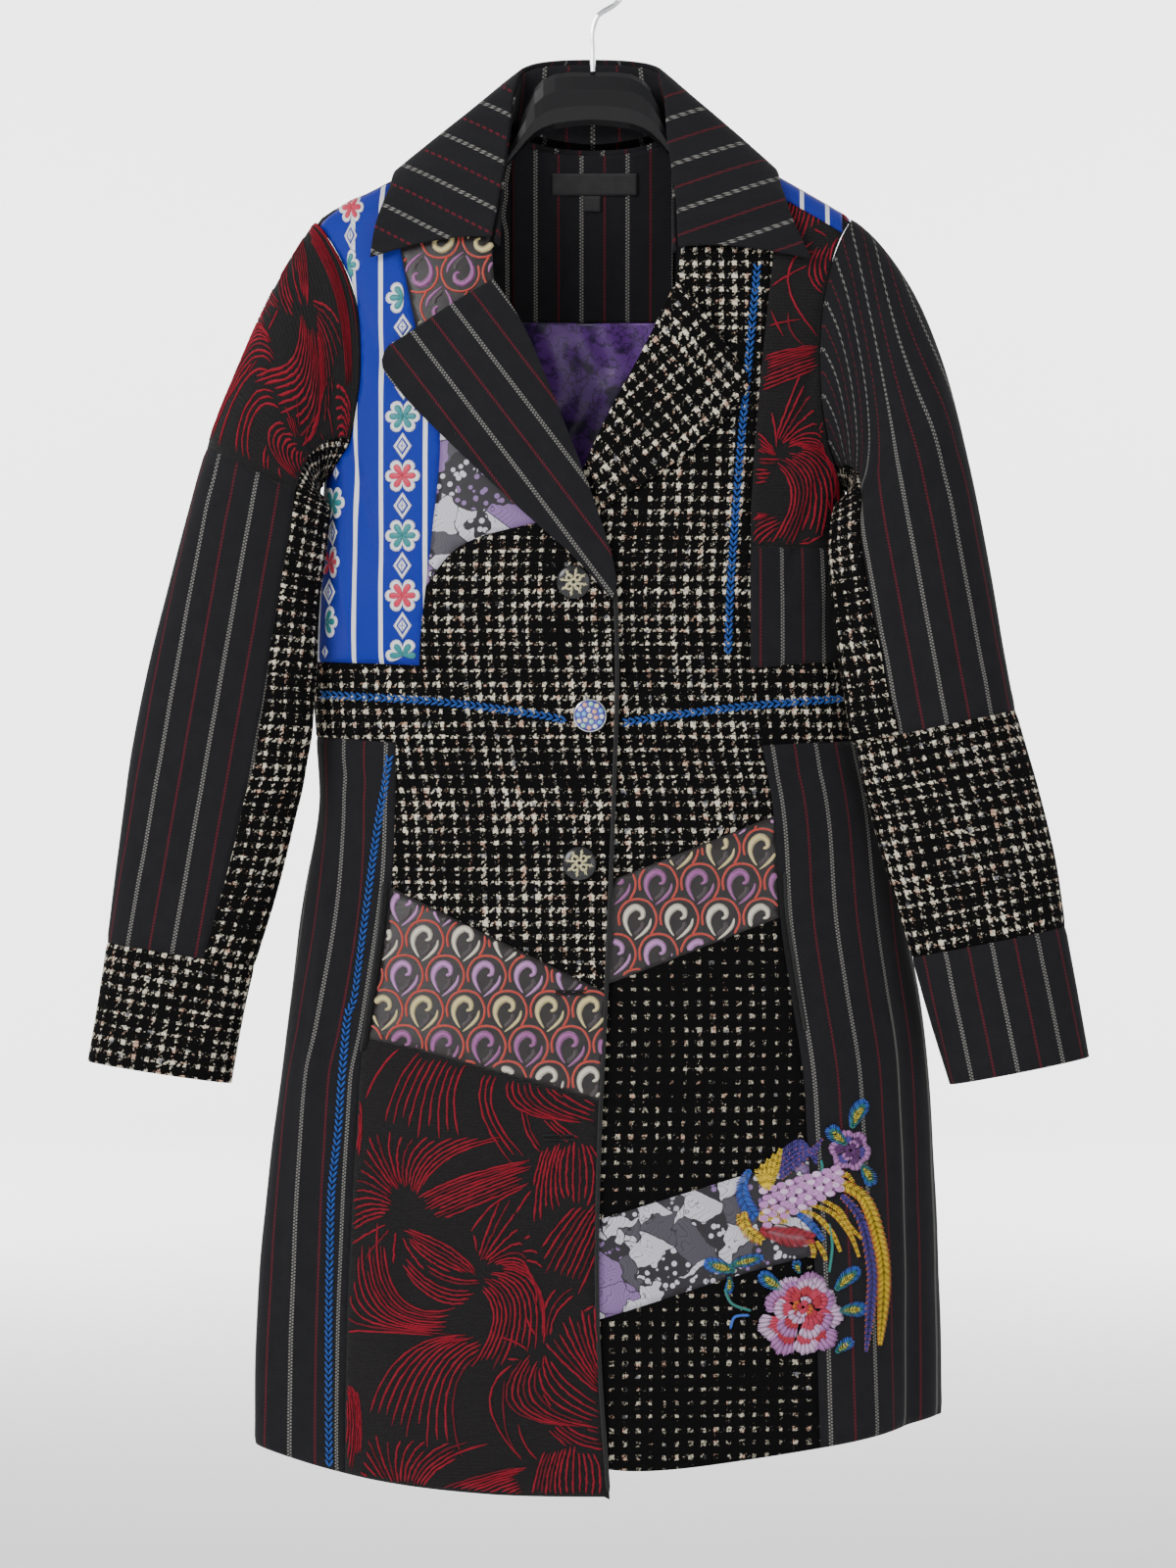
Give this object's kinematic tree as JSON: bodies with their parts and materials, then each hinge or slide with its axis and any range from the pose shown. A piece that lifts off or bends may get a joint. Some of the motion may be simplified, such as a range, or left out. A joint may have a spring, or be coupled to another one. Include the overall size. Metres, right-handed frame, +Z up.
{
  "type": "long coat on a hanger",
  "caption": "Long fitted patchwork coat with notched lapels and a deep collar, buttoned, hanging on a moulded hanger with a wire hook",
  "frame": {"origin": "inside the top of the hanger's hook, where a rail carries it", "axes": "+Z up, the front faces -Y, +X is the wearer's left"},
  "size_m": [0.682, 0.1485, 1.0525],
  "materials": {
    "pinstripe_wool": "matt black wool twill with dotted white and red pinstripes",
    "tweed_boucle": "matt black and cream boucle check",
    "plume_boucle": "matt black boucle with red chenille plumes",
    "paisley_satin": "satin brocade with coral, cream and lilac drops",
    "blue_braid": "royal blue satin braid with flower columns",
    "blossom_print": "lavender and grey jacquard",
    "lining_satin": "purple satin with a dark print",
    "woven_label": "bare black woven tape",
    "embroidery_thread": "glossy rayon thread in many colours",
    "black_button": "domed, glossy, with a cream rosette",
    "mosaic_button": "glossy mosaic in a silver rim",
    "hanger_plastic": "satin black moulding",
    "hook_steel": "bright plated wire"
  },
  "bodies": {
    "root": {"right_shoulder_braid": "blue_braid", "right_chest_paisley": "paisley_satin", "right_chest_print": "blossom_print", "right_bust_tweed": "tweed_boucle", "right_waistband": "tweed_boucle", "right_skirt_side": "pinstripe_wool", "right_skirt_tweed": "tweed_boucle", "right_skirt_paisley": "paisley_satin", "right_skirt_plume": "plume_boucle", "left_chest_plume": "plume_boucle", "left_waist_stripe": "pinstripe_wool", "left_bust_tweed": "tweed_boucle", "left_waistband": "tweed_boucle", "left_skirt_side": "pinstripe_wool", "left_skirt_tweed_upper": "tweed_boucle", "left_skirt_paisley": "paisley_satin", "left_skirt_tweed_middle": "tweed_boucle", "left_skirt_print": "blossom_print", "left_skirt_tweed_hem": "tweed_boucle", "back_yoke": "pinstripe_wool", "left_shoulder_braid": "blue_braid", "back_bodice_right": "pinstripe_wool", "back_bodice_left": "pinstripe_wool", "back_waistband": "tweed_boucle", "back_skirt_right": "pinstripe_wool", "back_skirt_left": "pinstripe_wool", "right_sleeve_plume": "plume_boucle", "right_sleeve_stripe": "pinstripe_wool", "right_sleeve_under": "tweed_boucle", "right_sleeve_cuff": "tweed_boucle", "left_sleeve_stripe": "pinstripe_wool", "left_sleeve_under": "tweed_boucle", "left_sleeve_patch": "tweed_boucle", "left_sleeve_cuff": "pinstripe_wool", "collar_fall": "pinstripe_wool", "collar_stand": "pinstripe_wool", "right_lapel": "pinstripe_wool", "left_lapel": "tweed_boucle", "neck_facing": "pinstripe_wool", "lining": "lining_satin", "neck_label": "woven_label", "size_tab": "woven_label", "button_1": "black_button", "button_2": "mosaic_button", "button_3": "black_button", "bird_applique": "embroidery_thread", "flower_applique": "embroidery_thread", "blossom_applique": "embroidery_thread", "hanger_body": "hanger_plastic", "hanger_hook": "hook_steel"}
  },
  "joints": []
}
